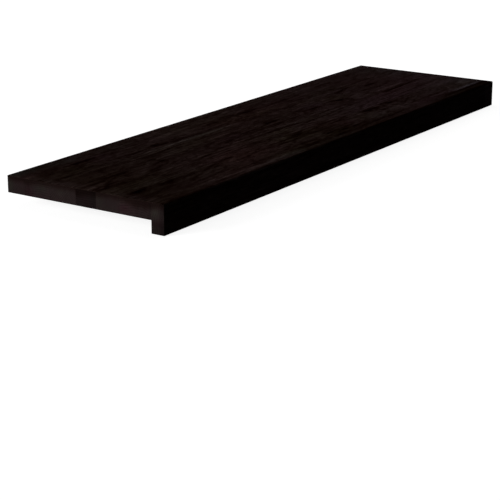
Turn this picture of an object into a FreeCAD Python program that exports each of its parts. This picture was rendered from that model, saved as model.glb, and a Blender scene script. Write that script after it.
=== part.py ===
import FreeCAD, Part
import os

# L-shaped stair tread of edge-glued oak: six full-length staves side by side make the panel, and a full-height
# nosing strip is glued on in front of them. All sizes are in millimetres.
# Frame: +Z up, +X along the tread, -Y to the front (nosing) side. The origin is under the middle of the tread,
# level with the foot of the nosing.

LENGTH = 900.0          # along X, end to end
DEPTH = 250.0           # along Y, from the nosing's front to the back edge
HEIGHT = 40.0           # from the nosing's foot to the walking face
PANEL_T = 23.0          # thickness of the panel behind the nosing
NOSE_T = 20.0           # thickness of the nosing strip, front to back

# Stave widths from the back edge to the nosing's glue joint. They add up to DEPTH - NOSE_T.
STAVES = [
    ("back_stave", 31.0),
    ("stave_2", 41.0),
    ("stave_3", 41.0),
    ("stave_4", 32.0),
    ("stave_5", 37.0),
    ("front_stave", 48.0),
]

R_NOSE_TOP = 2.0        # eased walking edge of the nosing
R_NOSE_FOOT = 1.0       # eased lower front edge of the nosing
R_LONG = 0.8            # eased long edges at the back and behind the nosing
R_END = 0.8             # eased edges round both sawn ends

assert abs(sum(w for _, w in STAVES) - (DEPTH - NOSE_T)) < 1e-9

y_front = -DEPTH / 2.0
y_back = DEPTH / 2.0
y_joint = y_front + NOSE_T
z_under = HEIGHT - PANEL_T
x0 = -LENGTH / 2.0
x1 = LENGTH / 2.0


def profile_solid():
    """The whole tread as one L-section bar, before it is divided at the glue joints."""
    pts = [
        (y_front, 0.0),
        (y_joint, 0.0),
        (y_joint, z_under),
        (y_back, z_under),
        (y_back, HEIGHT),
        (y_front, HEIGHT),
    ]
    vs = [FreeCAD.Vector(x0, y, z) for y, z in pts]
    face = Part.Face(Part.makePolygon(vs + [vs[0]]))
    return face.extrude(FreeCAD.Vector(LENGTH, 0, 0))


def long_edge(shape, y, z):
    """The edge along X that passes through (y, z)."""
    for e in shape.Edges:
        a, b = e.Vertexes[0].Point, e.Vertexes[-1].Point
        if (
            abs(abs(a.x - b.x) - LENGTH) < 1e-6
            and abs(a.y - y) < 1e-6
            and abs(a.z - z) < 1e-6
            and abs(b.y - y) < 1e-6
            and abs(b.z - z) < 1e-6
        ):
            return e
    raise RuntimeError("no long edge at y %s z %s" % (y, z))


tread = profile_solid()
for y, z, r in (
    (y_front, HEIGHT, R_NOSE_TOP),
    (y_front, 0.0, R_NOSE_FOOT),
    (y_joint, 0.0, R_LONG),
    (y_back, HEIGHT, R_LONG),
    (y_back, z_under, R_LONG),
):
    tread = tread.makeFillet(r, [long_edge(tread, y, z)])

# Eased edges round the two end faces.
for x in (x0, x1):
    ring = [
        e
        for e in tread.Edges
        if all(abs(v.Point.x - x) < 1e-6 for v in e.Vertexes)
        and abs(e.CenterOfMass.x - x) < 1e-6
    ]
    tread = tread.makeFillet(R_END, ring)

if not tread.isValid():
    raise RuntimeError("the eased profile is not valid")


def between(ya, yb):
    """The slice of the tread between two glue planes."""
    m = 5.0
    cutter = Part.makeBox(
        LENGTH + 2 * m,
        yb - ya,
        HEIGHT + 2 * m,
        FreeCAD.Vector(x0 - m, ya, -m),
    )
    piece = tread.common(cutter)
    solids = piece.Solids
    if len(solids) != 1 or not solids[0].isValid():
        raise RuntimeError("the slice %s..%s is not one valid solid" % (ya, yb))
    return solids[0]


pieces = {}
y_hi = y_back
for i, (name, width) in enumerate(STAVES):
    y_lo = y_hi - width
    top = y_hi + (5.0 if i == 0 else 0.0)
    pieces[name] = between(y_lo, top)
    y_hi = y_lo
pieces["nosing_strip"] = between(y_front - 5.0, y_joint)

os.makedirs("parts", exist_ok=True)
total = 0.0
for name, solid in pieces.items():
    total += solid.Volume
    b = solid.BoundBox
    print(
        "%-13s %8.1f cm3  x %.1f..%.1f  y %.1f..%.1f  z %.1f..%.1f"
        % (name, solid.Volume / 1000.0, b.XMin, b.XMax, b.YMin, b.YMax, b.ZMin, b.ZMax)
    )
    solid.exportStep(os.path.join("parts", name + ".step"))
print("whole bar %.1f cm3, pieces together %.1f cm3" % (tread.Volume / 1000.0, total / 1000.0))
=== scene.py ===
import math

import bpy
import numpy as np
from mathutils import Matrix, Vector
from mathutils.geometry import delaunay_2d_cdt


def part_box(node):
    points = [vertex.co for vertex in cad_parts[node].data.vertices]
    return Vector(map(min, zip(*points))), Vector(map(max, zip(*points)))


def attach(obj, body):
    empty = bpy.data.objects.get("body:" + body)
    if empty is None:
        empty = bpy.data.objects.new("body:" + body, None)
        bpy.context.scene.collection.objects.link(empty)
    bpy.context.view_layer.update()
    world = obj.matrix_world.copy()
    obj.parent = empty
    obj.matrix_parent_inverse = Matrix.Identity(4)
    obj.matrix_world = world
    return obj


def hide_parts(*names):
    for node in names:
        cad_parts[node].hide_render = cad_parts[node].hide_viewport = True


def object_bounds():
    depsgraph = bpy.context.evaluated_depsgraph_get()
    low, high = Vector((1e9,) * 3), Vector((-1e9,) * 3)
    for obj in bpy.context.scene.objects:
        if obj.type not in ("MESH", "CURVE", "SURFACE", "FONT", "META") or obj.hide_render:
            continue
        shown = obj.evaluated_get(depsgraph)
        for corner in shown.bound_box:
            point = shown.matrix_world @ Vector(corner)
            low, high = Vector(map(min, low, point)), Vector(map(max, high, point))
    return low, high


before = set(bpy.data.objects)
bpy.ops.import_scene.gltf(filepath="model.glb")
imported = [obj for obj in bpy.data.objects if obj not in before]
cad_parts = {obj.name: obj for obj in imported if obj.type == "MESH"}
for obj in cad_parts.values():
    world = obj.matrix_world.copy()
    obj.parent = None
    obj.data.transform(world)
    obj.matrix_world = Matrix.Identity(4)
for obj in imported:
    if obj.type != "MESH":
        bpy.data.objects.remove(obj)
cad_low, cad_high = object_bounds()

# ---------------------------------------------------------------------------------------------------------------
# An L-shaped stair tread of edge-glued, nearly black stained wood. Lengths in this file are millimetres until a mesh
# is written. s runs from the left end (0) to the right end (900), t from the back edge (0) to the nosing's front
# (250), z up from the nosing's foot.
# ---------------------------------------------------------------------------------------------------------------
LENGTH = (cad_high.x - cad_low.x) * 1000.0
HALF = LENGTH / 2.0
BACK = cad_high.y * 1000.0
R_END = 0.8          # eased edge round each sawn end
R_JOINT = 0.16       # the hairline groove that sanding leaves at a glue joint
STEP_X = 2.0         # mesh spacing along the grain
STEP_FINE = 0.75     # mesh spacing across the grain on the faces that show
STEP_UNDER = 1.7     # the same on the underside
STEP_HIDDEN = 4.0    # the same on glued faces


# ------------------------------------------------------------------------------------------------- seeded noise
def lattice(ix, iy, iz, seed):
    h = (ix * 374761393 + iy * 668265263 + iz * 1440662683 + seed * 974634777) & 0xFFFFFFFF
    h = ((h ^ (h >> 15)) * 739982445) & 0xFFFFFFFF
    h = ((h ^ (h >> 12)) * 695872825) & 0xFFFFFFFF
    return (h ^ (h >> 15)) / 2147483647.5 - 1.0


def noise(x, y, z, seed):
    """Smooth value noise from -1 to 1."""
    x, y, z = np.broadcast_arrays(x, y, z)
    fx, fy, fz = np.floor(x), np.floor(y), np.floor(z)
    ix, iy, iz = fx.astype(np.int64), fy.astype(np.int64), fz.astype(np.int64)
    x, y, z = x - fx, y - fy, z - fz
    x = x * x * x * (x * (x * 6 - 15) + 10)
    y = y * y * y * (y * (y * 6 - 15) + 10)
    z = z * z * z * (z * (z * 6 - 15) + 10)
    total = 0.0
    for a, wa in ((0, 1 - x), (1, x)):
        for b, wb in ((0, 1 - y), (1, y)):
            for c, wc in ((0, 1 - z), (1, z)):
                total = total + wa * wb * wc * lattice(ix + a, iy + b, iz + c, seed)
    return total


def layers(x, y, z, seed, octaves=3, gain=0.5):
    total, size, weight = 0.0, 1.0, 0.0
    for k in range(octaves):
        f = 2.03 ** k
        total = total + size * noise(x * f + 17.3 * k, y * f - 9.1 * k, z * f + 4.7 * k, seed + 31 * k)
        weight += size
        size *= gain
    return total / weight


def ramp(a, b, v):
    k = np.clip((v - a) / (b - a), 0.0, 1.0)
    return k * k * (3 - 2 * k)


# --------------------------------------------------------------------------------------------- the seven pieces
# pith: where the tree's centre ran, (t, z) at the middle of the length, with its drift in mm per mm of length.
# ring: mean width of a year's growth. tone, end: how light the stave took the stain on its long faces and on its
# ends. slant: how the end's stain changes from the back to the front of the stave.
PIECES = [
    dict(name="back_stave", slot="panel_wood", t=(0, 31), z=(17, 40), pith=(-46, -22), drift=(0.010, 0.006), ring=2.5, tone=0.98, end=1.00, slant=0.00, hue=-0.05, seed=11),
    dict(name="stave_2", slot="panel_wood", t=(31, 72), z=(17, 40), pith=(56, -74), drift=(-0.006, 0.030), ring=3.1, tone=0.93, end=1.10, slant=0.10, hue=0.1, seed=23),
    dict(name="stave_3", slot="panel_wood", t=(72, 113), z=(17, 40), pith=(178, -48), drift=(0.012, -0.010), ring=2.4, tone=1.04, end=1.12, slant=0.06, hue=0.10, seed=37),
    dict(name="stave_4", slot="panel_wood", t=(113, 145), z=(17, 40), pith=(131, 112), drift=(0.004, -0.024), ring=2.8, tone=1.0, end=0.61, slant=-0.20, hue=-0.25, seed=41),
    dict(name="stave_5", slot="panel_wood", t=(145, 182), z=(17, 40), pith=(118, -70), drift=(-0.010, 0.012), ring=2.3, tone=1.1, end=1.11, slant=0.15, hue=-0.1, seed=59),
    dict(name="front_stave", slot="panel_wood", t=(182, 230), z=(17, 40), pith=(205, -58), drift=(0.006, -0.026), ring=3.0, tone=0.97, end=1.17, slant=-0.26, hue=0.15, seed=67),
    dict(name="nosing_strip", slot="nosing_wood", t=(230, 250), z=(0, 40), pith=(186, 19), drift=(0.024, 0.010), ring=2.6, tone=1.0, end=1.07, slant=0.00, hue=0.0, seed=73),
]

# Knots: s, t, half length, half width, how dark the heart is
KNOTS = {
    "back_stave": [(438, 18, 7.0, 2.6, 0.3)],
    "stave_2": [(100, 37, 8.0, 3.2, 0.5), (234, 60, 11.0, 3.6, 0.75), (386, 48, 8.0, 3.0, 0.3)],
    "stave_3": [(448, 110, 7.0, 2.4, 0.4), (768, 95, 9.0, 2.4, 0.5)],
    "stave_4": [(27, 140.5, 5.0, 3.2, 0.85), (171, 118.5, 5.0, 2.8, 0.7), (552, 117, 9.0, 3.4, 0.5), (634, 117.5, 12.0, 4.0, 1.0)],
    "stave_5": [(310, 165, 5.0, 2.0, 0.3)],
    "front_stave": [(27, 187.5, 6.5, 4.2, 0.95), (90, 190, 10.0, 5.0, 0.35), (392, 187, 9.0, 3.0, 0.4), (594, 191.5, 10.0, 4.0, 0.65), (660, 191, 11.0, 5.0, 0.35), (466, 225, 8.0, 3.4, 0.5)],
    "nosing_strip": [(442, 240, 6.0, 2.2, 0.4)],
}

# Swells in the grain that close the rings into an eye: s, t, half length, half width, rings inside
EYES = {
    "stave_4": [(142, 131, 92, 17, 5.0)],
    "stave_2": [(386, 52, 60, 13, 2.6)],
    "front_stave": [(300, 207, 80, 15, 2.5), (745, 209, 90, 18, 3.0)],
    "stave_5": [(640, 164, 70, 12, 2.0)],
    "nosing_strip": [(620, 250, 110, 30, 3.0)],
}

# Streaks in the walking face: points (s, t) along the grain, half width, how much darker (-) or lighter (+)
STREAKS = [
    # back stave and its neighbour
    ([(172, 31), (196, 28)], 1.81, -0.45),
    ([(188, 45), (205, 42)], 1.56, -0.46),
    ([(208, 35.5), (232, 34)], 0.9, -0.54),
    ([(86, 35), (118, 37)], 2.73, -0.48),
    ([(48, 52), (82, 44)], 3.16, -0.25),
    ([(20, 69), (50, 70), (80, 70)], 1.3, -0.59),
    ([(95, 68.5), (132, 68.5)], 1, -0.64),
    ([(150, 67), (175, 65.5), (206, 62)], 1.81, -0.64),
    ([(212, 57), (252, 63.5)], 3.38, -0.52),
    ([(264, 68.5), (310, 69), (382, 68.5)], 1.69, -0.66),
    ([(358, 51), (392, 48), (424, 42)], 2.3, -0.36),
    ([(450, 47), (466, 44), (484, 48)], 2.28, -0.50),
    ([(527, 49), (548, 48), (566, 45), (595, 44.5), (622, 44.5)], 1.93, -0.55),
    ([(698, 64), (713, 60)], 2.28, -0.45),
    ([(778, 54), (796, 49)], 1.56, -0.33),
    ([(258, 40), (300, 36)], 5, 0.20),
    ([(300, 50), (344, 46)], 4, 0.26),
    ([(474, 66), (496, 60)], 3.38, 0.25),
    ([(868, 52), (890, 40)], 4.6, 0.52),
    # third stave
    ([(20, 75.5), (75, 75), (130, 75), (206, 75)], 1, 0.74),
    ([(148, 84.5), (200, 84), (228, 81), (250, 78.5)], 1.3, 1.0),
    ([(236, 76.5), (262, 75.5), (300, 77), (345, 77.5), (394, 75.5)], 1.35, 1.35),
    ([(160, 79.6), (248, 80.2)], 0.9, -0.40),
    ([(165, 91), (200, 90.5), (228, 88), (256, 84)], 1, -0.66),
    ([(282, 90), (330, 89)], 1, -0.55),
    ([(8, 110), (50, 109.5), (84, 105.5)], 1.15, -0.57),
    ([(196, 110), (238, 101)], 3.59, 0.25),
    ([(428, 112), (466, 112.5)], 1, -0.69),
    ([(530, 87.5), (545, 83), (563, 79)], 2.73, -0.44),
    ([(572, 96), (600, 82), (628, 72)], 3.16, 0.23),
    ([(522, 106), (543, 105)], 1.56, -0.53),
    ([(636, 92), (653, 90)], 1.81, -0.51),
    ([(640, 103), (662, 97.5)], 1, -0.45),
    ([(655, 99), (692, 92)], 1.56, 0.38),
    ([(628, 108), (650, 104)], 2.51, 0.47),
    ([(672, 87), (690, 84), (704, 80.5), (723, 79)], 2.73, -0.61),
    ([(747, 98), (762, 95), (789, 94)], 2.17, -0.60),
    ([(766, 88), (801, 77)], 0.9, -0.56),
    ([(776, 82), (800, 80)], 0.9, 0.61),
    # fourth stave
    ([(19, 144), (28, 141), (36, 137.5)], 2.0, -0.62),
    ([(0, 120), (14, 122), (34, 121), (60, 118), (101, 113.5)], 2.95, -0.57),
    ([(62, 122), (99, 117)], 5, -0.26),
    ([(118, 141), (130, 138), (153, 134)], 2.95, -0.48),
    ([(253, 117.5), (303, 117)], 1.15, -0.57),
    ([(428, 115), (466, 114)], 1.56, -0.67),
    ([(531, 114.5), (555, 115), (575, 113.5)], 2.51, -0.51),
    ([(540, 121), (557, 124)], 2.05, -0.44),
    ([(590, 122), (603, 118)], 1.81, -0.47),
    ([(617, 113.5), (634, 117), (651, 120)], 2.73, -0.58),
    ([(722, 144.5), (745, 143.5), (775, 142.5), (812, 141.2), (846, 138.5)], 2.17, -0.66),
    ([(262, 142), (300, 143.5)], 1.3, -0.65),
    ([(345, 142.5), (368, 140.5)], 1.3, -0.59),
    ([(120, 124), (150, 116)], 4, 0.34),
    ([(84, 139), (113, 135)], 4, 0.26),
    ([(200, 139), (240, 127)], 2.73, 0.26),
    ([(268, 131), (300, 127), (346, 124)], 3.38, 0.38),
    ([(556, 136), (600, 134)], 3.16, 0.23),
    ([(655, 135), (750, 131), (806, 130)], 3.38, 0.34),
    ([(0, 132), (22, 130)], 4, 0.36),
    # fifth stave
    ([(196, 156.5), (222, 153), (246, 148), (268, 142.6), (296, 142.2), (330, 145.5), (378, 147), (430, 149.5), (463, 151)], 0.9, -0.36),
    ([(490, 155.5), (545, 155), (575, 153), (600, 151), (646, 150)], 0.9, -0.36),
    ([(44, 149), (75, 152), (120, 153.5)], 1.3, -0.59),
    ([(190, 156), (222, 153), (246, 148)], 1.7, -0.64),
    ([(306, 144.5), (334, 146.3), (364, 146.8)], 1.6, -0.50),
    ([(378, 147), (400, 148.5), (430, 150), (463, 151)], 1.8, -0.60),
    ([(470, 157), (500, 155), (545, 155), (562, 153), (591, 149.5)], 1.3, -0.59),
    ([(722, 148), (748, 146)], 1.3, -0.37),
    ([(160, 172), (290, 168)], 0.9, -0.41),
    ([(168, 180), (252, 178.5)], 0.9, -0.41),
    ([(184, 163), (322, 160)], 0.9, -0.36),
    ([(8, 161), (44, 158)], 2.51, 0.38),
    ([(158, 159), (177, 154)], 1.56, 0.45),
    ([(226, 170), (300, 157)], 4, 0.24),
    ([(598, 176), (640, 170), (670, 171)], 3.16, 0.32),
    ([(690, 172), (780, 166)], 6, 0.14),
    # front stave
    ([(14, 187), (26, 187), (42, 186)], 2.6, -0.62),
    ([(-20, 198), (60, 204), (130, 206)], 17, -0.24),
    ([(60, 207), (80, 200), (101, 184)], 5.6, -0.40),
    ([(112, 211), (135, 203), (160, 196), (200, 186), (238, 183)], 2.51, -0.57),
    ([(160, 206), (196, 192)], 2.05, -0.38),
    ([(238, 201.5), (262, 199), (286, 197), (323, 196)], 1.15, -0.65),
    ([(190, 228), (232, 227), (274, 226)], 2.05, -0.50),
    ([(361, 221), (389, 227)], 4.2, -0.44),
    ([(338, 197), (362, 190.5), (388, 187.5), (418, 183)], 4.0, -0.44),
    ([(418, 191), (433, 189)], 1.81, -0.47),
    ([(440, 187), (463, 186)], 2.28, -0.50),
    ([(481, 190.5), (510, 188), (541, 184)], 1.81, -0.60),
    ([(574, 196), (590, 192), (613, 185)], 3.6, -0.44),
    ([(636, 186), (660, 190), (683, 195)], 5.6, -0.28),
    ([(661, 213), (690, 203), (723, 189)], 1.3, -0.55),
    ([(670, 223), (701, 213)], 1, -0.55),
    ([(441, 228), (470, 223), (501, 216)], 4.6, -0.42),
    ([(752, 222), (769, 219)], 2.28, -0.45),
    ([(205, 222), (276, 216)], 1.81, 0.31),
    ([(210, 206), (262, 209)], 4, 0.18),
    ([(328, 222), (346, 212)], 1.81, 0.36),
    ([(591, 227), (613, 221)], 3.59, 0.64),
    ([(784, 230), (830, 229.6), (892, 228.8)], 2.1, 1.25),
    ([(846, 221), (888, 198)], 7, 0.22),
    # nosing strip
    ([(182, 232), (274, 231)], 1.3, -0.44),
    ([(60, 232), (150, 236)], 2.05, 0.37),
    # The next three pale streaks along the nosing's front edge are part pale grain, part painted highlight standing in
    # for light caught by the rounded edge.
    ([(236, 238.5), (300, 239.5), (350, 242.6), (370, 243.6)], 1.8, 0.95),
    ([(370, 243.6), (400, 244.8), (452, 246), (516, 246)], 1.5, 0.45),
    ([(120, 237), (236, 238.5)], 1.8, 0.45),
    ([(378, 232), (392, 236)], 2.73, -0.32),
    ([(428, 236), (453, 236)], 1.81, -0.58),
    ([(484, 237.5), (512, 237.5), (566, 234.5)], 2.05, -0.48),
    ([(756, 238.2), (800, 238), (892, 238)], 1.9, -0.55),
    ([(796, 232.7), (892, 232.4)], 2.4, 2.3),
]

# Broad clouds of lighter (+) and darker (-) stain in the walking face: s, t, half length, half width, how much
CLOUDS = [
    (8, 78, 13, 36, 0.13), (8, 204, 13, 24, 0.15), (42, 29, 24, 10, -0.14), (110, 18, 60, 18, 0.18), (330, 18, 60, 20, 0.32),
    (405, 18, 50, 20, 0.24), (475, 16, 60, 18, 0.12), (630, 20, 50, 18, 0.12), (460, 62, 70, 20, -0.13), (605, 62, 70, 18, -0.11),
    (150, 104, 50, 20, -0.22), (240, 106, 70, 20, -0.13), (150, 145, 40, 18, -0.18), (75, 96, 60, 24, -0.12), (50, 150, 50, 20, -0.07),
    (440, 228, 50, 12, -0.10), (625, 207, 80, 15, 0.10), (320, 218, 30, 12, -0.08), (330, 145, 50, 16, 0.20), (780, 145, 80, 20, -0.13),
    (60, 187, 60, 22, 0.13), (210, 187, 40, 16, 0.14), (378, 188, 44, 16, -0.24), (450, 190, 40, 18, -0.24), (605, 188, 60, 22, 0.16),
    (840, 190, 70, 24, 0.30), (275, 226, 40, 14, 0.12), (340, 228, 35, 14, -0.24), (645, 222, 50, 9, 0.22), (870, 220, 40, 14, 0.12),
]

# Patches of the walking face that lean to another hue: s, t, half length, half width, more green, more blue. Plus and
# plus is grey, plus and minus olive, minus and minus red, minus and plus wine.
TINTS = [
    (20, 8, 32, 11, 0.36, 0.50), (90, 14, 44, 13, 0.26, 0.28), (200, 18, 34, 16, 0.16, 0.10), (145, 38, 30, 16, -0.08, 0.05),
    (46, 30, 26, 12, -0.05, -0.02), (70, 52, 32, 16, 0.18, -0.06), (252, 48, 34, 18, -0.08, 0.04), (400, 62, 40, 22, -0.10, -0.08),
    (465, 74, 28, 14, 0.02, -0.06), (490, 60, 110, 24, -0.17, -0.16), (780, 62, 60, 30, -0.12, -0.10), (290, 92, 26, 12, 0.02, -0.03),
    (350, 106, 60, 18, -0.11, -0.10), (330, 125, 50, 16, -0.05, 0.02), (540, 104, 60, 20, -0.11, -0.07), (642, 104, 34, 18, 0.10, -0.10),
    (620, 110, 70, 20, -0.06, -0.04), (790, 108, 70, 26, -0.13, -0.05), (70, 104, 80, 30, 0.04, -0.06), (70, 165, 80, 40, 0.02, -0.10),
    (408, 160, 26, 10, 0.08, -0.08), (320, 148, 50, 16, -0.08, -0.05), (640, 165, 70, 30, -0.05, 0.03), (750, 148, 90, 24, -0.15, -0.10),
    (60, 187, 60, 26, 0.12, 0.12), (255, 190, 66, 36, -0.31, -0.26), (385, 190, 44, 16, 0.18, -0.12), (480, 190, 50, 20, -0.11, -0.15),
    (690, 187, 80, 26, -0.12, -0.02), (505, 209, 14, 8, -0.14, -0.02), (548, 210, 24, 10, 0.08, -0.08), (180, 229, 60, 12, -0.14, -0.13),
    (335, 235, 60, 10, 0.18, -0.04), (456, 227, 38, 12, 0.26, 0.02), (570, 226, 24, 12, 0.14, 0.08), (720, 229, 60, 14, -0.15, -0.03),
    (872, 206, 30, 24, 0.10, 0.17), (884, 70, 26, 70, 0.12, 0.14), (850, 232, 60, 6, 0.23, 0.31), (310, 76.5, 90, 3.5, 0.14, 0.18),
    # The first two patches on the next line grey the painted highlight along the nosing's front edge.
    (300, 243, 62, 6, 0.17, 0.22), (420, 244, 50, 5, 0.18, 0.30), (570, 105, 40, 12, 0.06, 0.16), (825, 243.5, 90, 7, 0.56, 0.50),
    (5, 82, 16, 46, -0.06, 0.13), (5, 31, 14, 11, -0.10, -0.05), (5, 205, 16, 24, -0.12, 0.17),
]

# Patches on the sawn ends: t, z, half width, half height, towards olive (+) or wine (-), how much lighter
END_PATCHES = [
    (5, 27, 6, 7, 1.1, 0.06), (35, 25, 8, 8, -0.65, -0.04), (56, 31, 9, 5, 0.7, 0.05), (90, 31, 7, 4, 0.5, 0.06), (100, 22, 10, 6, -0.3, 0.0),
    (124, 26, 12, 8, -0.45, 0.0), (151, 29, 6, 8, 0.8, 0.04), (189, 26, 10, 7, -1.05, 0.04), (208, 24, 8, 6, -0.2, 0.0),
    (235.5, 27, 6, 6.5, 1.1, 0.20), (242, 15, 7, 8, -0.5, -0.05),
]

# How light the wood is made along the tread, at s = 0, 100 ... 900: all over, and on the nosing strip's walking face
ALONG = [0.74, 0.86, 1.03, 1.00, 0.96, 1.00, 1.02, 1.01, 1.03, 1.06]
ALONG_NOSING = [0.74, 1.02, 1.24, 1.18, 0.70, 0.60, 0.66, 0.91, 0.40, 0.31]


def wood(piece, x, y, z, on_end):
    """The figure of one stave at the points x, y, z: the growth-ring count, the coordinates that follow the grain,
    the hearts of knots, how light the wood is (painted highlight and shade at some edges included), the way round the
    pith, and how deep the surface sits."""
    s, t, seed = x + HALF, BACK - y, piece["seed"]
    name = piece["name"]

    # The grain wanders slowly, and a little faster near the surface of each ring.
    sway = 1.7 * noise(s / 260.0, t / 90.0, z / 60.0, seed) + 0.55 * noise(s / 74.0, t / 30.0, z / 30.0, seed + 1)
    rise = 1.5 * noise(s / 240.0, t / 70.0, z / 60.0, seed + 2) + 0.5 * noise(s / 66.0, t / 24.0, z / 30.0, seed + 3)
    u, v = t + sway, z + rise

    # The grain parts round each knot and closes again.
    heart = np.zeros_like(s)
    halo = np.zeros_like(s)
    radial = np.zeros_like(s)
    for ks, kt, a, b, dark in KNOTS.get(name, ()):
        kt = kt + (z - 40.0) * 0.12
        ks = ks + (z - 40.0) * 0.35
        ds, dt = s - ks, u - kt
        g = np.exp(-((ds / (5.5 * a)) ** 2) - (dt / (3.0 * b)) ** 2)
        u = kt + dt * (1 - 0.86 * g)
        ragged = 1 + 0.16 * noise(ds / 5.0, dt / 2.5, z / 30.0, seed + 7)
        q = np.sqrt((ds / a) ** 2 + (dt / b) ** 2) * ragged
        heart = np.maximum(heart, dark * (1 - ramp(0.55, 1.15, q)))
        halo = np.maximum(halo, dark * np.exp(-((ds / (2.6 * a)) ** 2) - (dt / (1.7 * b)) ** 2))
        radial = np.where(q < 1.6, q * 2.4, radial)

    tp = piece["pith"][0] + piece["drift"][0] * (s - HALF) + 5.0 * noise(s / 310.0, 3.1, 0.0, seed + 4)
    zp = piece["pith"][1] + piece["drift"][1] * (s - HALF) + 4.0 * noise(s / 280.0, 7.7, 0.0, seed + 5)
    dist = np.hypot(u - tp, v - zp)
    for es, et, a, b, rings in EYES.get(name, ()):
        dist = dist + rings * piece["ring"] * np.exp(-(((s - es) / a) ** 2) - ((t - et) / b) ** 2)
    ring = dist / piece["ring"]
    ring = ring + 0.55 * noise(dist / 9.0, 0.5, 0.5, seed + 8) + 0.22 * noise(s / 48.0, u / 9.0, v / 9.0, seed + 9) + 0.10 * noise(s / 17.0, u / 3.2, v / 3.2, seed + 10)
    near = np.clip(heart * 1.4, 0, 1)
    ring = ring * (1 - near) + (np.floor(ring.mean()) + radial) * near
    around = np.arctan2(v - zp, u - tp) * (abs(piece["pith"][0] - sum(piece["t"]) / 2) + 55.0)

    # How light the wood is: slow clouds, long fibres, and thin dark and pale lines between them; further down, painted
    # highlight and shade at some edges
    cloud = layers(s / 210.0, u / 30.0, v / 30.0, seed + 12, 2)
    bands = layers(s / 170.0, u / 7.5, v / 7.5, seed + 13, 2)
    fibre = layers(s / 90.0, u / 3.4, v / 3.4, seed + 14, 2)
    fine = noise(s / 36.0, u / 1.3, v / 1.3, seed + 15)
    grain = 0.12 * cloud + 0.02 * bands + 0.04 * fibre + 0.28 * fine
    dark = ramp(0.24, 0.46, noise(s / 44.0, u / 1.4, v / 1.4, seed + 16)) * ramp(-0.35, 0.25, noise(s / 120.0, u / 14.0, v / 14.0, seed + 17))
    pale = ramp(0.24, 0.50, noise(s / 110.0, u / 1.25, v / 1.25, seed + 18))
    specks = ramp(0.18, 0.36, noise(s / 7.0, u / 1.15, v / 1.15, seed + 19))
    glints = ramp(0.22, 0.42, noise(s / 8.0, u / 1.15, v / 1.15, seed + 22))
    lines = ramp(0.24, 0.44, noise(s / 190.0, u / 1.3, v / 1.3, seed + 20))
    calm = 1 - 0.22 * ramp(540.0, 700.0, s)
    tone = np.exp(calm * (grain - 0.46 * dark + 0.38 * pale - 0.74 * specks + 0.38 * glints - 0.56 * lines))
    on_top = ramp(36.5, 39.0, z) * (1 - on_end)
    marks = np.zeros_like(s)
    for points, half, gain in STREAKS:
        ps = np.array([p[0] for p in points], float)
        pt = np.array([p[1] for p in points], float)
        if pt.max() + 3 * half < piece["t"][0] or pt.min() - 3 * half > piece["t"][1]:
            continue
        at = np.interp(s, ps, pt) + 0.55 * noise(s / 55.0, 1.5, 2.5, 401) + 0.30 * noise(s / 16.0, 8.5, 2.5, 402)
        swell = half * (1 + 0.30 * noise(s / 30.0, 5.5, 0.5, 404))
        body = np.exp(-(((t - at) / swell) ** 2)) * ramp(ps[0] - 12, ps[0] + 10, s) * (1 - ramp(ps[-1] - 10, ps[-1] + 12, s))
        broken = 0.92 + 0.40 * noise(s / 19.0, t / 1.7, 0.5, 403)
        marks = marks + math.log(1 + gain) * body * broken
    tone = tone * np.exp(1.18 * marks * on_top)
    tone = tone * np.exp(-0.60 * halo * (1 - on_end))
    tone = tone * np.interp(s, np.arange(0, 901, 100), ALONG)
    # Painted highlight: the walking face is made lighter along the near end's top edge, where that edge catches the
    # light.
    tone = tone * (1 + 0.80 * on_top * (1 - ramp(5.0, 25.0, s)) * (1 - 0.45 * ramp(180.0, 205.0, t)) * (0.72 + 0.5 * noise(t / 9.0, 4.5, 0.5, 611)))
    cloudy = np.zeros_like(s)
    for ps, pt, ds, dt, gain in CLOUDS:
        cloudy = cloudy + gain * np.exp(-(((s - ps) / ds) ** 2) - ((t - pt) / dt) ** 2)
    tone = tone * np.exp(cloudy * on_top)
    if name == "nosing_strip":
        tone = tone * (1 + (np.interp(s, np.arange(0, 901, 100), ALONG_NOSING) - 1) * on_top)
        # Painted shade: the nosing's walking face is darkened over its last few millimetres, where the rounded front
        # edge turns away from the light.
        tone = tone * (1 - 0.45 * ramp(245.5, 248.8, t) * (1 - on_end))
    tone = tone * piece["tone"]

    # On the sawn ends the wood is made darkest and reddest under the walking face, and lighter downwards below a wavy
    # band.
    lower = np.interp(t, [0, 22, 33, 52, 112.9, 113.1, 132, 144.9, 145.1, 172, 190, 208, 224, 236], [37.2, 37.6, 35.8, 38.4, 38.2, 32.6, 35.4, 35.6, 36.8, 38.2, 36.0, 33.2, 32.6, 36.4])
    lower = lower + 1.3 * noise(t / 13.0, 0.5, 0.5, 501) + 1.1 * noise(t / 4.5, 3.5, 0.5, 505)
    band = ramp(0.0, 9.5, lower - z + 1.5)
    ends = piece["end"] * (0.50 + 0.50 * band) * (1 + 0.09 * noise(t / 11.0, z / 15.0, 0.5, 503) + 0.07 * noise(t / 2.4, z / 10.0, 0.5, 504))
    across = np.clip((t - piece["t"][0]) / (piece["t"][1] - piece["t"][0]) - 0.5, -0.5, 0.5)
    ends = ends * (1 + piece["slant"] * across)
    blush = np.zeros_like(s)
    for pt, pz, dt, dz, gain, more in END_PATCHES:
        body = np.exp(-(((t - pt) / dt) ** 2) - ((z - pz) / dz) ** 2)
        blush = blush + gain * body
        ends = ends * (1 + more * body)
    if name == "nosing_strip":
        # The nosing's end is made darker towards its foot, and darker towards its front corner with painted shade where
        # the rounded corner turns from the light.
        ends = ends * (0.70 + 0.36 * ramp(12.0, 21.0, z)) * (1 - 0.30 * ramp(240.0, 248.5, t))
    tone = tone * (1 - on_end) + ends * on_end
    if name == "nosing_strip":  # the front face reads a little lighter over its last stretch
        # Painted highlight: a lighter strip on the front face at the far end stands in for light caught by the rounded
        # far corner.
        tone = tone * (1 + 0.9 * ramp(866, 878, s) * ramp(248.6, 249.8, t) * (1 - on_end))
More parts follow.
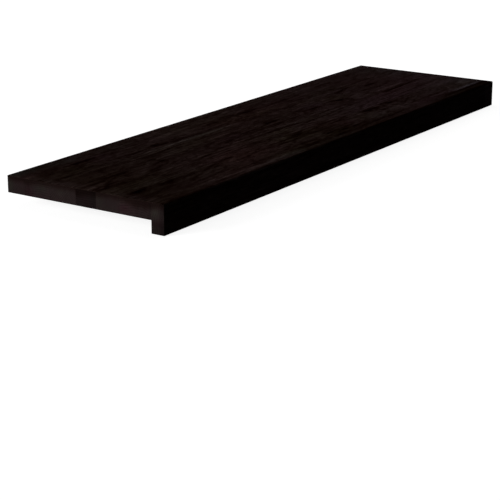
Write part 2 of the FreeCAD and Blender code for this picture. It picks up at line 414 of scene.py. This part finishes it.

    # Where the stain leans to olive and cream (+) or to wine red (-), and how it turns from brown to wine along the
    # tread; the two grey patches at the nosing's front edge (s 300 and 420) grey a painted highlight
    lean = 0.45 * layers(s / 85.0, u / 36.0, v / 36.0, seed + 21, 2) + 0.6 * piece["hue"]
    more_green, more_blue = np.zeros_like(s), np.zeros_like(s)
    for ps, pt, ds, dt, g, b in TINTS:
        body = on_top * np.exp(-(((s - ps) / ds) ** 2) - ((t - pt) / dt) ** 2)
        more_green = more_green + g * body
        more_blue = more_blue + b * body
    lean = lean * (1 - on_end) + on_end * (blush + 0.35 * noise(t / 17.0, z / 16.0, 0.5, 507) + 0.25 * noise(t / 6.0, z / 7.0, 0.5, 508))
    plus, minus = np.clip(lean, 0, 1), np.clip(-lean, 0, 1)
    red = 1 - 0.03 * plus + 0.03 * minus
    green = 1 + 0.15 * plus - (0.12 + 0.16 * on_end) * minus
    blue = 1 + (0.07 * minus - 0.15 * plus) * (1 - on_end) - 0.15 * minus * on_end
    blue = blue * (np.interp(s, [0, 120, 400, 560, 700, 900], [0.84, 0.95, 0.92, 1.00, 1.03, 1.06]) * (1 - on_end) + on_end)
    red_end = (1 - band) * on_end
    green, blue = green * (1 - 0.21 * red_end), blue * (1 - 0.29 * red_end)
    tint = np.stack([red, green * np.exp(more_green), blue * np.exp(more_blue)], -1)

    # Brushed relief: the soft early wood of each ring lies below the hard late wood, and dark dashes below that.
    p = ring - np.floor(ring)
    soft = (1 - ramp(0.0, 0.34, p)) + ramp(0.93, 1.0, p)
    depth = 0.018 + 0.060 * soft + 0.018 * (1 - fibre) + 0.030 * dark + 0.022 * specks
    depth = depth + 0.05 * halo + 0.10 * heart * (0.5 + 0.5 * np.sin(radial * 6.0))
    depth = depth * (1 - on_end) + (0.012 + 0.02 * soft) * on_end
    return dict(ring=ring, u=u, v=v, heart=heart, tone=tone, tint=tint, around=around, depth=np.clip(depth, 0.0, 0.30))


# ------------------------------------------------------------------------------------------------------- meshes
def spread(a, b, step):
    n = max(1, int(math.ceil(abs(b - a) / step)))
    return np.linspace(a, b, n + 1)


def arc(cy, cz, r, a0, a1, n):
    a = np.radians(np.linspace(a0, a1, n + 1))
    return cy + r * np.cos(a), cz + r * np.sin(a), np.cos(a), np.sin(a)


def section(y0, y1, z0, z1, radii, steps, weights):
    """The closed outline of a stave's section, anticlockwise in (y, z), from its lower front corner. radii are of
    the corners lower front, lower back, upper back, upper front; steps and weights of the faces under, back, top, front.
    Returns y, z, the outward normal and the share of the texture map up to each point."""
    r0, r1, r2, r3 = radii
    Y, Z, NY, NZ, W = [], [], [], [], []

    def run(ys, zs, ny, nz, weight):
        Y.extend(ys); Z.extend(zs)
        NY.extend([ny] * len(ys)); NZ.extend([nz] * len(ys)); W.extend([weight] * len(ys))

    def turn(cy, cz, r, a0, weight):
        n = 2 if r < 0.4 else 4 if r < 1.5 else 7
        ys, zs, ny, nz = arc(cy, cz, r, a0, a0 + 90, n)
        Y.extend(ys[1:-1]); Z.extend(zs[1:-1]); NY.extend(ny[1:-1]); NZ.extend(nz[1:-1]); W.extend([weight] * (n - 1))

    a = spread(y0 + r0, y1 - r1, steps[0]); run(a, np.full(len(a), z0), 0, -1, weights[0])
    turn(y1 - r1, z0 + r1, r1, -90, max(weights[0], weights[1]))
    a = spread(z0 + r1, z1 - r2, steps[1]); run(np.full(len(a), y1), a, 1, 0, weights[1])
    turn(y1 - r2, z1 - r2, r2, 0, max(weights[1], weights[2]))
    a = spread(y1 - r2, y0 + r3, steps[2]); run(a, np.full(len(a), z1), 0, 1, weights[2])
    turn(y0 + r3, z1 - r3, r3, 90, max(weights[2], weights[3]))
    a = spread(z1 - r3, z0 + r0, steps[3]); run(np.full(len(a), y0), a, -1, 0, weights[3])
    turn(y0 + r0, z0 + r0, r0, 180, max(weights[3], weights[0]))
    Y, Z, NY, NZ, W = (np.array(q, float) for q in (Y, Z, NY, NZ, W))
    gap = np.hypot(np.roll(Y, -1) - Y, np.roll(Z, -1) - Z)
    along = np.concatenate([[0.0], np.cumsum(gap * np.maximum(W, np.roll(W, -1)))])
    return Y, Z, NY, NZ, along / along[-1]


def build(piece):
    name = piece["name"]
    low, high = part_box(name)
    y0, y1, z0, z1 = low.y * 1000, high.y * 1000, low.z * 1000, high.z * 1000
    nosing, back = name == "nosing_strip", name == "back_stave"
    free_front, free_back = nosing, back
    if nosing:
        radii = (1.0, 0.8, R_JOINT, 2.0)
        steps, weights = (1.1, 1.0, STEP_FINE, STEP_FINE), (0.7, 0.6, 1.0, 1.0)
    elif back:
        radii = (R_JOINT, 0.8, 0.8, R_JOINT)
        steps, weights = (STEP_UNDER, STEP_FINE, STEP_FINE, STEP_HIDDEN), (0.55, 1.0, 1.0, 0.08)
    else:
        radii = (R_JOINT,) * 4
        steps, weights = (STEP_UNDER, STEP_HIDDEN, STEP_FINE, STEP_HIDDEN), (0.55, 0.08, 1.0, 0.08)
    Y, Z, NY, NZ, along = section(y0, y1, z0, z1, radii, steps, weights)
    m = len(Y)

    # Columns along the grain, closer together over the eased edge of each end
    phi = np.radians([0, 30, 60, 90])
    near = -HALF + R_END * (1 - np.cos(phi))
    inset_near = R_END * (1 - np.sin(phi))
    n = int(round((LENGTH - 2 * R_END) / STEP_X))
    X = np.concatenate([near[:-1], np.linspace(-HALF + R_END, HALF - R_END, n + 1), -near[:-1][::-1]])
    inset = np.concatenate([inset_near[:-1], np.zeros(n + 1), inset_near[:-1][::-1]])
    c = len(X)

    # Which way the surface may sink: never on a glued face
    joint_back = np.full(m, 0.0 if free_back else 1.0)
    if nosing:
        joint_back = np.clip((Z - 17.0) / 0.8, 0, 1)
    sink_y = np.where(NY > 0, 1 - joint_back, 1.0 if free_front else 0.0) * NY
    sink_z = NZ.copy()

    xs = np.repeat(X[:, None], m, 1)
    e = inset[:, None]
    zc, hz = (z0 + z1) / 2, (z1 - z0) / 2
    zs = zc + (Z - zc)[None, :] * (hz - e) / hz
    ys = np.repeat(Y[None, :], c, 0)
    if free_front:
        ys = ys + e * ((y1 - Y) / (y1 - y0))[None, :]
    if free_back or nosing:
        ys = ys - e * (((Y - y0) / (y1 - y0)) * (1 - joint_back))[None, :]

    # The two ends: points inside the outline, joined to it by triangles
    rim_y, rim_z = ys[0], zs[0]
    gy = spread(y0 + 0.9, y1 - 0.9, 1.05)
    gz = spread(z0 + 0.9, z1 - 0.9, 1.05)
    inner = [(a + 0.12 * math.sin(7.3 * a + 3.1 * b), b + 0.12 * math.cos(5.9 * b + 2.7 * a)) for a in gy for b in gz]
    if nosing:
        inner = [q for q in inner if q[0] < -106.4 or q[1] > 18.4]
    points = [Vector((float(a), float(b))) for a, b in zip(rim_y, rim_z)] + [Vector(q) for q in inner]
    out, _, tris, origin, _, _ = delaunay_2d_cdt(points, [], [list(range(m))], 1, 1e-6)
    if len(out) != len(points):
        raise RuntimeError("%s: the end has %d points and not %d" % (name, len(out), len(points)))
    back_to = [o[0] for o in origin]
    tris = np.array([[back_to[i] for i in tri] for tri in tris], np.int64)
    a, b, d = (np.array([points[i] for i in tris[:, k]]) for k in range(3))
    turned = (b[:, 0] - a[:, 0]) * (d[:, 1] - a[:, 1]) - (b[:, 1] - a[:, 1]) * (d[:, 0] - a[:, 0]) < 0
    tris[turned] = tris[turned][:, ::-1]
    inner = np.array(inner, float)
    k = len(inner)

    # All points: the skin column by column, then the left end's inner points, then the right end's
    px = np.concatenate([xs.ravel(), np.full(k, -HALF), np.full(k, HALF)])
    py = np.concatenate([ys.ravel(), inner[:, 0], inner[:, 0]])
    pz = np.concatenate([zs.ravel(), inner[:, 1], inner[:, 1]])
    rim = np.clip(inset / R_END, 0, 1) ** 1.5
    on_end = np.concatenate([np.repeat(rim, m), np.ones(2 * k)])
    f = wood(piece, px, py, pz, on_end)

    # The surface sinks along its own normal, and a sawn end along the grain.
    depth = f["depth"]
    skin = c * m
    fade = np.repeat(1 - 0.9 * np.clip(inset / R_END, 0, 1), m)
    sy, sz = np.tile(sink_y, c), np.tile(sink_z, c)
    py = py.copy(); pz = pz.copy(); px = px.copy()
    py[:skin] -= sy * depth[:skin] * fade
    pz[:skin] -= sz * depth[:skin] * fade
    px[skin:skin + k] += depth[skin:skin + k]
    px[skin + k:] -= depth[skin + k:]

    # Faces
    i = np.arange(c - 1)[:, None]
    j = np.arange(m)[None, :]
    j2 = (j + 1) % m
    quads = np.stack([i * m + j, i * m + j2, (i + 1) * m + j2, (i + 1) * m + j], -1).reshape(-1, 4)
    left = np.where(tris < m, tris, tris - m + skin)[:, ::-1]
    right = np.where(tris < m, tris + (c - 1) * m, tris - m + skin + k)
    loops = np.concatenate([quads.ravel(), left.ravel(), right.ravel()]).astype(np.int32)
    sizes = np.concatenate([np.full(len(quads), 4), np.full(len(left) * 2, 3)]).astype(np.int32)
    starts = np.concatenate([[0], np.cumsum(sizes)[:-1]]).astype(np.int32)

    me = bpy.data.meshes.new(name + "_finished")
    me.vertices.add(len(px))
    co = np.stack([px, py, pz], -1) / 1000.0
    me.vertices.foreach_set("co", co.astype(np.float32).ravel())
    me.loops.add(len(loops))
    me.loops.foreach_set("vertex_index", loops)
    me.polygons.add(len(sizes))
    me.polygons.foreach_set("loop_start", starts)
    me.polygons.foreach_set("loop_total", sizes)
    me.polygons.foreach_set("use_smooth", np.ones(len(sizes), bool))
    me.update(calc_edges=True)
    if me.validate(verbose=False):
        raise RuntimeError("%s: the mesh had a fault" % name)

    # A texture map with the grain along u and the faces that show given most of v; the ends lie above them.
    uu = 0.006 + 0.988 * (X + HALF) / LENGTH
    vv = 0.004 + 0.845 * along
    quad_u = np.stack([uu[i] + 0 * j, uu[i] + 0 * j, uu[i + 1] + 0 * j, uu[i + 1] + 0 * j], -1)
    quad_v = np.stack([vv[j] + 0 * i, vv[j + 1] + 0 * i, vv[j + 1] + 0 * i, vv[j] + 0 * i], -1)
    all_y = np.concatenate([rim_y, inner[:, 0]])
    all_z = np.concatenate([rim_z, inner[:, 1]])
    cap_u = (all_y - y0) / (y1 - y0)
    cap_v = (all_z - z0) / (z1 - z0)
    uv = [np.stack([quad_u, quad_v], -1).reshape(-1, 2)]
    for tri, shift in ((tris[:, ::-1], 0.012), (tris, 0.512)):
        uv.append(np.stack([shift + 0.476 * cap_u[tri], 0.862 + 0.130 * cap_v[tri]], -1).reshape(-1, 2))
    layer = me.uv_layers.new(name="OFBake", do_init=False)
    layer.uv.foreach_set("vector", np.concatenate(uv).astype(np.float32).ravel())

    def point(label, kind, values):
        at = me.attributes.new(label, kind, "POINT")
        at.data.foreach_set("value" if kind == "FLOAT" else "vector", np.asarray(values, np.float32).ravel())

    point("wood_ring", "FLOAT", f["ring"])
    point("wood_heart", "FLOAT", f["heart"])
    point("wood_tone", "FLOAT", f["tone"])
    point("wood_tint", "FLOAT_VECTOR", f["tint"])
    point("wood_end", "FLOAT", on_end)
    point("wood_round", "FLOAT", f["around"])
    shift = piece["seed"] * 13.7
    point("wood_flow", "FLOAT_VECTOR", np.stack([px + HALF + shift, f["u"] + shift, f["v"]], -1))

    ob = bpy.data.objects.new(name + "_finish", me)
    bpy.context.scene.collection.objects.link(ob)
    return ob


# --------------------------------------------------------------------------------------------------- materials
class Nodes:
    """Small helpers to write a node tree as expressions."""

    def __init__(self, mat):
        mat.use_nodes = True
        self.tree = mat.node_tree
        self.tree.nodes.clear()

    def new(self, kind, **settings):
        node = self.tree.nodes.new(kind)
        for key, value in settings.items():
            setattr(node, key, value)
        return node

    def link(self, source, socket):
        if isinstance(source, bpy.types.NodeSocket):
            self.tree.links.new(source, socket)
        else:
            socket.default_value = source

    def math(self, operation, a, b=0.0, c=None, clamp=False):
        node = self.new("ShaderNodeMath", operation=operation, use_clamp=clamp)
        self.link(a, node.inputs[0])
        self.link(b, node.inputs[1])
        if c is not None:
            self.link(c, node.inputs[2])
        return node.outputs[0]

    def between(self, value, a, b, to0=0.0, to1=1.0):
        node = self.new("ShaderNodeMapRange", interpolation_type="SMOOTHSTEP")
        for key, source in (("Value", value), ("From Min", a), ("From Max", b), ("To Min", to0), ("To Max", to1)):
            self.link(source, node.inputs[key])
        return node.outputs["Result"]

    def attribute(self, name, output="Fac"):
        return self.new("ShaderNodeAttribute", attribute_name=name).outputs[output]

    def scaled(self, vector, sizes):
        node = self.new("ShaderNodeVectorMath", operation="MULTIPLY")
        self.link(vector, node.inputs[0])
        node.inputs[1].default_value = [1.0 / q for q in sizes]
        return node.outputs[0]

    def noise(self, vector, detail=0.0, rough=0.5, distortion=0.0):
        node = self.new("ShaderNodeTexNoise", noise_dimensions="3D")
        self.link(vector, node.inputs["Vector"])
        node.inputs["Scale"].default_value = 1.0
        node.inputs["Detail"].default_value = detail
        node.inputs["Roughness"].default_value = rough
        node.inputs["Distortion"].default_value = distortion
        return node.outputs["Fac"]

    def blend(self, fac, a, b, kind="MIX"):
        node = self.new("ShaderNodeMix", data_type="RGBA", blend_type=kind)
        self.link(fac, node.inputs["Factor"])
        colours = [q for q in node.inputs if q.type == "RGBA"]
        self.link(a, colours[0])
        self.link(b, colours[1])
        return [q for q in node.outputs if q.type == "RGBA"][0]

    def dim(self, colour, by):
        """colour times a number."""
        node = self.new("ShaderNodeVectorMath", operation="SCALE")
        self.link(colour, node.inputs[0])
        self.link(by, node.inputs["Scale"])
        return node.outputs[0]


def stained_wood(name, light_r, slope, offset, end_early, end_late, shine):
    """light_r: the red of the lightest long-grain wood. slope, offset: green and blue follow from red, as
    slope * red - offset, so dark lines are red-brown and pale ones are greyer."""
    mat = bpy.data.materials.new(name)
    g = Nodes(mat)
    flow = g.attribute("wood_flow", "Vector")
    ring = g.attribute("wood_ring")
    knot = g.attribute("wood_heart")
    tone = g.attribute("wood_tone")
    end = g.attribute("wood_end")
    way = g.attribute("wood_round")

    # Growth rings: a porous early wood that starts sharply and passes softly into the dense late wood
    jitter = g.noise(g.scaled(flow, (19.0, 1.3, 1.3)), 2.0, 0.6)
    count = g.math("MULTIPLY_ADD", jitter, 0.42, ring)
    place = g.math("FRACT", count)
    gaps = g.between(g.noise(g.scaled(flow, (24.0, 1.7, 1.7)), 2.0, 0.6), 0.30, 0.56, 0.35, 1.0)
    soft = g.math("MULTIPLY", g.between(place, 0.0, 0.50, 1.0, 0.0), gaps)
    dense = g.between(place, 0.55, 0.97)

    # Pores: short dark dashes along the grain, crowded in the early wood
    fine = g.noise(g.scaled(flow, (7.5, 0.26, 0.26)), 1.0, 0.55)
    dashes = g.noise(g.scaled(flow, (19.0, 0.95, 0.95)), 2.0, 0.6)
    edge = g.math("MULTIPLY_ADD", soft, -0.12, 0.67)
    pores = g.between(fine, edge, g.math("ADD", edge, 0.07))
    edge2 = g.math("MULTIPLY_ADD", soft, -0.08, 0.665)
    rows = g.between(dashes, edge2, g.math("ADD", edge2, 0.08))
    fibre = g.noise(g.scaled(flow, (70.0, 1.1, 1.1)), 3.0, 0.62)
    hair = g.noise(g.scaled(flow, (34.0, 0.34, 0.34)), 1.0, 0.5)

    # Rays: thin lines out from the pith on the ends
    turn = g.new("ShaderNodeCombineXYZ")
    g.link(way, turn.inputs[0])
    g.link(ring, turn.inputs[1])
    rays_end = g.between(g.noise(g.scaled(turn.outputs[0], (0.55, 7.0, 1.0)), 1.0, 0.5), 0.56, 0.70)

    # Long grain: one scale of lightness, then green and blue from it
    light = g.math("MULTIPLY_ADD", soft, -0.24, 0.92)
    light = g.math("MULTIPLY", light, g.math("MULTIPLY_ADD", g.between(fibre, 0.25, 0.75), 0.90, 0.55))
    light = g.math("MULTIPLY", light, g.math("MULTIPLY_ADD", hair, 0.5, 0.75))
    light = g.math("MULTIPLY", light, g.math("MULTIPLY_ADD", dense, 0.16, 0.94))
    light = g.math("MULTIPLY", light, g.math("MULTIPLY_ADD", rows, -0.62, 1.0))
    light = g.math("MULTIPLY", light, g.math("MULTIPLY_ADD", pores, -0.66, 1.0))
    light = g.math("MULTIPLY", light, g.math("MULTIPLY_ADD", knot, -0.70, 1.0))
    red = g.math("MULTIPLY", g.math("MULTIPLY", light, tone), light_r)
    body = g.new("ShaderNodeCombineXYZ")
    g.link(red, body.inputs[0])
    g.link(g.math("MULTIPLY_ADD", red, slope[0], -offset[0], clamp=True), body.inputs[1])
    g.link(g.math("MULTIPLY_ADD", red, slope[1], -offset[1], clamp=True), body.inputs[2])

    cut = g.blend(soft, end_late, end_early)
    cut = g.dim(cut, g.math("MULTIPLY_ADD", g.noise(g.scaled(flow, (40.0, 0.9, 0.9)), 2.0, 0.6), 0.5, 0.75))
    cut = g.dim(cut, g.math("MULTIPLY_ADD", pores, -0.45, 1.0))
    cut = g.blend(g.math("MULTIPLY", rays_end, 0.22), cut, [q * 1.7 for q in end_late[:3]] + [1.0])
    cut = g.dim(cut, tone)

    colour = g.new("ShaderNodeVectorMath", operation="MULTIPLY")
    g.link(g.blend(end, body.outputs[0], cut), colour.inputs[0])
    g.link(g.attribute("wood_tint", "Vector"), colour.inputs[1])

    shader = g.new("ShaderNodeBsdfPrincipled")
    g.link(colour.outputs[0], shader.inputs["Base Color"])
    g.link(g.math("MULTIPLY_ADD", end, -0.85 * shine, shine), shader.inputs["Specular IOR Level"])
    rough = g.math("MULTIPLY_ADD", pores, 0.16, 0.47)
    rough = g.math("MULTIPLY_ADD", g.math("SUBTRACT", fibre, 0.5), 0.20, rough)
    rough = g.math("MULTIPLY_ADD", end, 0.30, rough, clamp=True)
    g.link(rough, shader.inputs["Roughness"])

    height = g.math("MULTIPLY_ADD", pores, -0.75, g.math("MULTIPLY", rows, -0.45))
    height = g.math("MULTIPLY_ADD", dense, 0.22, height)
    height = g.math("MULTIPLY_ADD", hair, 0.30, height)
    bump = g.new("ShaderNodeBump")
    bump.inputs["Strength"].default_value = 0.55
    bump.inputs["Distance"].default_value = 0.00012
    g.link(height, bump.inputs["Height"])
    g.link(bump.outputs[0], shader.inputs["Normal"])
    out = g.new("ShaderNodeOutputMaterial")
    g.link(shader.outputs[0], out.inputs["Surface"])
    return mat


panel = stained_wood(
    "stained_panel_wood", light_r=0.0297, slope=(0.723, 0.739), offset=(0.0037, 0.0051),
    end_early=(0.0250, 0.0166, 0.0164, 1), end_late=(0.0420, 0.0288, 0.0284, 1), shine=0.16,
)
nosing = stained_wood(
    "stained_nosing_wood", light_r=0.0288, slope=(0.723, 0.739), offset=(0.0037, 0.0051),
    end_early=(0.0260, 0.0174, 0.0171, 1), end_late=(0.0435, 0.0298, 0.0294, 1), shine=0.16,
)

for piece in PIECES:
    ob = build(piece)
    ob.data.materials.append(nosing if piece["name"] == "nosing_strip" else panel)
    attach(ob, "root")
    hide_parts(piece["name"])
    for node_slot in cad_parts[piece["name"]].material_slots:
        node_slot.material = nosing if piece["name"] == "nosing_strip" else panel

# ------------------------------------------------------------------------------------------------------- studio
scene = bpy.context.scene
scene.view_settings.view_transform = "Standard"
scene.view_settings.look = "None"

cam = bpy.data.cameras.new("camera")
cam.sensor_width = 36.0
cam.lens = 1601.2 / 500.0 * 36.0
cam.clip_start, cam.clip_end = 0.05, 100.0
cam_ob = bpy.data.objects.new("camera", cam)
scene.collection.objects.link(cam_ob)
azimuth, elevation, roll = -0.979961, 0.302535, 0.000117
ahead = Vector((-math.sin(azimuth) * math.cos(elevation), math.cos(azimuth) * math.cos(elevation), -math.sin(elevation)))
right = ahead.cross(Vector((0, 0, 1))).normalized()
up = right.cross(ahead)
right, up = right * math.cos(roll) + up * math.sin(roll), up * math.cos(roll) - right * math.sin(roll)
turned = Matrix((right, up, -ahead)).transposed().to_4x4()
turned.translation = Vector((-1.92279, -1.23667, 0.55811))
cam_ob.matrix_world = turned
scene.camera = cam_ob

# A bright, even floor. It is seen by the camera and takes a faint shadow, and throws no light back at the wood.
floor_mesh = bpy.data.meshes.new("floor")
n, far = 48, 30.0
ring_points = [(far * math.cos(2 * math.pi * q / n), far * math.sin(2 * math.pi * q / n), 0.0) for q in range(n)]
floor_mesh.from_pydata(ring_points, [], [list(range(n))])
floor = bpy.data.objects.new("floor", floor_mesh)
scene.collection.objects.link(floor)
floor.visible_diffuse = False
floor.visible_glossy = False
floor_mat = bpy.data.materials.new("floor_white")
g = Nodes(floor_mat)
lit = g.new("ShaderNodeBsdfDiffuse")
lit.inputs["Color"].default_value = (0.50, 0.50, 0.50, 1)
glow = g.new("ShaderNodeEmission")
glow.inputs["Color"].default_value = (1, 1, 1, 1)
away = g.new("ShaderNodeVectorMath", operation="LENGTH")
g.link(g.new("ShaderNodeTexCoord").outputs["Object"], away.inputs[0])
g.link(g.between(away.outputs["Value"], 0.9, 2.6, 0.88, 1.02), glow.inputs["Strength"])
both = g.new("ShaderNodeAddShader")
g.link(lit.outputs[0], both.inputs[0])
g.link(glow.outputs[0], both.inputs[1])
out = g.new("ShaderNodeOutputMaterial")
g.link(both.outputs[0], out.inputs["Surface"])
floor_mesh.materials.append(floor_mat)

world = bpy.data.worlds.new("studio")
scene.world = world
world.use_nodes = True
tree = world.node_tree
tree.nodes.clear()
soft_light = tree.nodes.new("ShaderNodeBackground")
soft_light.inputs["Color"].default_value = (1, 1, 1, 1)
soft_light.inputs["Strength"].default_value = 0.012
white = tree.nodes.new("ShaderNodeBackground")
white.inputs["Color"].default_value = (1, 1, 1, 1)
white.inputs["Strength"].default_value = 1.0
path = tree.nodes.new("ShaderNodeLightPath")
mix = tree.nodes.new("ShaderNodeMixShader")
world_out = tree.nodes.new("ShaderNodeOutputWorld")
tree.links.new(path.outputs["Is Camera Ray"], mix.inputs[0])
tree.links.new(soft_light.outputs[0], mix.inputs[1])
tree.links.new(white.outputs[0], mix.inputs[2])
tree.links.new(mix.outputs[0], world_out.inputs["Surface"])
world.cycles_visibility.glossy = False


def softbox(name, place, aim, width, height, power, sheen=True, matt=True):
    data = bpy.data.lights.new(name, "AREA")
    data.shape = "RECTANGLE"
    data.size, data.size_y = width, height
    data.energy = power
    ob = bpy.data.objects.new(name, data)
    scene.collection.objects.link(ob)
    ob.location = place
    ob.rotation_mode = "QUATERNION"
    ob.rotation_quaternion = (Vector(aim) - Vector(place)).to_track_quat("-Z", "Y")
    ob.visible_glossy = sheen
    ob.visible_diffuse = matt
    return ob


softbox("key_left", (-3.55, 2.30, 1.54), (0, 0.0, 0.02), 2.0, 1.5, 90.0, sheen=False)
softbox("key_sheen", (-3.55, 2.30, 1.54), (0, 0.0, 0.02), 2.0, 1.5, 17.0, matt=False)
softbox("top_soft", (0.9, 0.40, 2.20), (0.2, 0.0, 0.02), 2.0, 1.4, 11.0, sheen=False)
softbox("right_low", (2.8, 0.02, 0.42), (0, 0.0, 0.02), 0.9, 0.5, 16.0, sheen=False)
softbox("back_low", (0.2, 2.80, 0.42), (0, 0.0, 0.02), 1.6, 0.6, 16.0, sheen=False)
softbox("front_fill", (-1.20, -2.80, 0.90), (0, 0.0, 0.02), 1.6, 1.0, 4.0, sheen=False)
softbox("front_sheen", (-1.60, -2.40, 0.45), (0, 0.0, 0.02), 1.8, 0.9, 5.0, matt=False)
